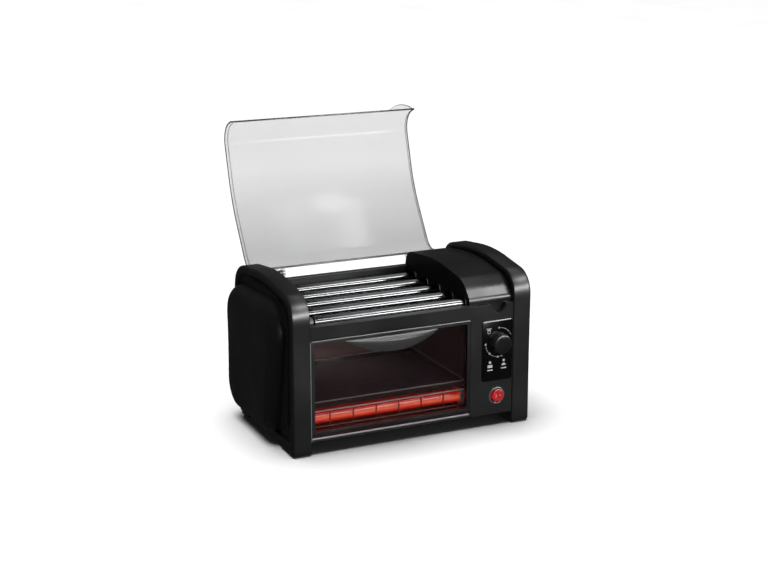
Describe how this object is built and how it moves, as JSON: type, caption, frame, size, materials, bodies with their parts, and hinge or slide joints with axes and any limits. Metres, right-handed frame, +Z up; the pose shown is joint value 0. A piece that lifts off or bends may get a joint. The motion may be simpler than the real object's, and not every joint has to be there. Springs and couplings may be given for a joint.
{
  "type": "hot dog roller grill",
  "caption": "Compact countertop grill with turning steel rollers under a hinged clear lid, over a small oven with a drop-down glass door, a timer knob and a rocker switch.",
  "frame": {"origin": "on the surface the feet stand on, under the middle of the outline with the lid open and the door closed", "axes": "+X to the user's right, +Y to the back, +Z up"},
  "size_m": [0.38, 0.3348, 0.3944],
  "materials": {
    "cap_plastic": "moulded black, fine satin grain",
    "fascia_plastic": "moulded charcoal, semi gloss",
    "pad_rubber": "soft rubber",
    "steel_sheet": "galvanised sheet",
    "black_sheet": "black stoved paint",
    "roller_steel": "polished stainless tube",
    "gear_nylon": "natural moulded nylon",
    "bush_white": "white bearing plastic",
    "heater_glow": "glowing quartz tube",
    "heater_quartz": "frosted quartz tube",
    "ceramic": "unglazed ceramic",
    "wire_steel": "plated wire",
    "tray_enamel": "dark baked enamel",
    "tray_bright": "bright rolled sheet",
    "door_black": "black stoved paint",
    "door_glass": "clear tempered glass",
    "handle_plastic": "moulded, semi gloss",
    "lid_clear": "clear, slightly smoky",
    "pin_steel": "ground steel",
    "screw_steel": "zinc plated",
    "knob_plastic": "moulded, semi gloss",
    "label_gloss": "glossy printed panel",
    "bezel_grey": "satin grey ring",
    "rocker_red": "translucent red, lit",
    "switch_black": "moulded",
    "timer_metal": "passivated steel case",
    "bell_steel": "bright steel",
    "motor_steel": "zinc plated can",
    "gland_rubber": "soft grommet",
    "terminal_white": "moulded block"
  },
  "bodies": {
    "housing": {"left_cap": "cap_plastic", "right_cap": "cap_plastic", "foot_pads": "pad_rubber", "base_plate": "steel_sheet", "back_panel": "black_sheet", "left_side_plate": "steel_sheet", "bulkhead": "steel_sheet", "oven_back": "steel_sheet", "oven_ceiling": "steel_sheet", "fascia": "fascia_plastic", "control_housing": "cap_plastic", "dial_label": "label_gloss", "switch_bezel": "bezel_grey", "switch_body": "switch_black", "timer_body": "timer_metal", "timer_bell": "bell_steel", "motor": "motor_steel", "motor_bracket": "steel_sheet", "idler_posts": "pin_steel", "left_bushes": "bush_white", "right_bushes": "bush_white", "lower_heaters": "heater_glow", "upper_heaters": "heater_quartz", "heater_holders": "ceramic", "heater_guard": "wire_steel", "bun_tray": "tray_enamel", "hinge_brackets": "black_sheet", "bracket_screws": "screw_steel", "panel_screws": "screw_steel", "cord_gland": "gland_rubber", "thermostat": "motor_steel", "terminal_block": "terminal_white"},
    "lid": {"lid": "lid_clear", "lid_pins": "pin_steel"},
    "door": {"door_frame": "door_black", "door_glass": "door_glass", "door_handle": "handle_plastic", "door_pins": "pin_steel", "handle_screws": "screw_steel"},
    "crumb_tray": {"crumb_tray": "tray_bright"},
    "timer": {"timer_knob": "knob_plastic", "timer_shaft": "pin_steel"},
    "rocker": {"rocker": "rocker_red"},
    "drive_pinion": {"motor_pinion": "gear_nylon"},
    "roller_1": {"roller_1": "roller_steel", "roller_gear_1": "gear_nylon"},
    "roller_2": {"roller_2": "roller_steel", "roller_gear_2": "gear_nylon"},
    "roller_3": {"roller_3": "roller_steel", "roller_gear_3": "gear_nylon"},
    "roller_4": {"roller_4": "roller_steel", "roller_gear_4": "gear_nylon"},
    "roller_5": {"roller_5": "roller_steel", "roller_gear_5": "gear_nylon"},
    "idler_1": {"idler_gear_1": "gear_nylon"},
    "idler_2": {"idler_gear_2": "gear_nylon"},
    "idler_3": {"idler_gear_3": "gear_nylon"},
    "idler_4": {"idler_gear_4": "gear_nylon"}
  },
  "joints": [
    {"name": "lid_hinge", "type": "hinge", "parent": "housing", "child": "lid", "pos_m": [0, 0.06417, 0.1845], "axis": [1, 0, 0], "range_deg": [0, 114.5]},
    {"name": "door_hinge", "type": "hinge", "parent": "housing", "child": "door", "pos_m": [0, -0.14843, 0.028], "axis": [1, 0, 0], "range_deg": [0, 90]},
    {"name": "crumb_tray_slide", "type": "slide", "parent": "housing", "child": "crumb_tray", "axis": [0, -1, 0], "range_m": [0, 0.08]},
    {"name": "timer_turn", "type": "hinge", "parent": "housing", "child": "timer", "pos_m": [0.1242, -0.15393, 0.117], "axis": [0, 1, 0], "range_deg": [0, 300]},
    {"name": "switch_rock", "type": "hinge", "parent": "housing", "child": "rocker", "pos_m": [0.1223, -0.14643, 0.043], "axis": [0, 0, 1], "range_deg": [-14, 0]},
    {"name": "roller_3_spin", "type": "hinge", "parent": "housing", "child": "roller_3", "pos_m": [0, -0.05513, 0.17], "axis": [1, 0, 0], "continuous": true},
    {"name": "roller_1_spin", "type": "hinge", "parent": "housing", "child": "roller_1", "pos_m": [0, -0.12993, 0.17], "axis": [1, 0, 0], "continuous": true},
    {"name": "roller_2_spin", "type": "hinge", "parent": "housing", "child": "roller_2", "pos_m": [0, -0.09253, 0.17], "axis": [1, 0, 0], "continuous": true},
    {"name": "roller_4_spin", "type": "hinge", "parent": "housing", "child": "roller_4", "pos_m": [0, -0.01773, 0.17], "axis": [1, 0, 0], "continuous": true},
    {"name": "roller_5_spin", "type": "hinge", "parent": "housing", "child": "roller_5", "pos_m": [0, 0.01967, 0.17], "axis": [1, 0, 0], "continuous": true},
    {"name": "idler_1_spin", "type": "hinge", "parent": "housing", "child": "idler_1", "pos_m": [0, -0.11123, 0.17], "axis": [1, 0, 0], "continuous": true},
    {"name": "idler_2_spin", "type": "hinge", "parent": "housing", "child": "idler_2", "pos_m": [0, -0.07383, 0.17], "axis": [1, 0, 0], "continuous": true},
    {"name": "idler_3_spin", "type": "hinge", "parent": "housing", "child": "idler_3", "pos_m": [0, -0.03643, 0.17], "axis": [1, 0, 0], "continuous": true},
    {"name": "idler_4_spin", "type": "hinge", "parent": "housing", "child": "idler_4", "pos_m": [0, 0.00097, 0.17], "axis": [1, 0, 0], "continuous": true},
    {"name": "pinion_spin", "type": "hinge", "parent": "housing", "child": "drive_pinion", "pos_m": [0, -0.05513, 0.1535], "axis": [1, 0, 0], "continuous": true}
  ],
  "couplings": [
    {"joint": "roller_1_spin", "follows": "roller_3_spin", "ratio": 1},
    {"joint": "roller_2_spin", "follows": "roller_3_spin", "ratio": 1},
    {"joint": "roller_4_spin", "follows": "roller_3_spin", "ratio": 1},
    {"joint": "roller_5_spin", "follows": "roller_3_spin", "ratio": 1},
    {"joint": "idler_1_spin", "follows": "roller_3_spin", "ratio": -1.125},
    {"joint": "idler_2_spin", "follows": "roller_3_spin", "ratio": -1.125},
    {"joint": "idler_3_spin", "follows": "roller_3_spin", "ratio": -1.125},
    {"joint": "idler_4_spin", "follows": "roller_3_spin", "ratio": -1.125},
    {"joint": "pinion_spin", "follows": "roller_3_spin", "ratio": -1.5}
  ]
}
